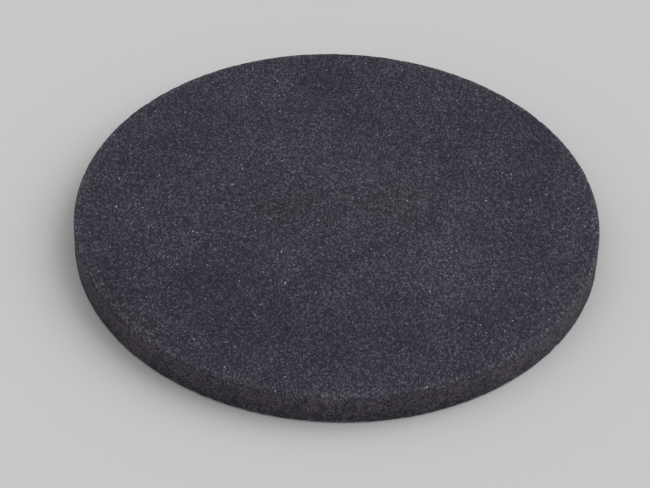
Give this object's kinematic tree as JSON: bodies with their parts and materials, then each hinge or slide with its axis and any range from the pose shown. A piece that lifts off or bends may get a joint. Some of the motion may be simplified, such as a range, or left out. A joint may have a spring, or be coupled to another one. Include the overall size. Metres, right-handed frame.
{
  "type": "sputtering target",
  "caption": "Flat round one-piece sputtering target with lightly rounded edges, sintered from a dark granular compound, clamped face up on a magnetron cathode as its coating source.",
  "frame": {"origin": "centre of the back face, on the plane that the plate rests on", "axes": "+Z from the back face to the front face that is sputtered, along the axis of the disc; X and Y are alike, because the plate is a body of revolution"},
  "size_m": [0.0762, 0.0762, 0.005],
  "materials": {
    "sintered_antimonide": "matte"
  },
  "bodies": {
    "root": {"target_plate": "sintered_antimonide"}
  },
  "joints": []
}
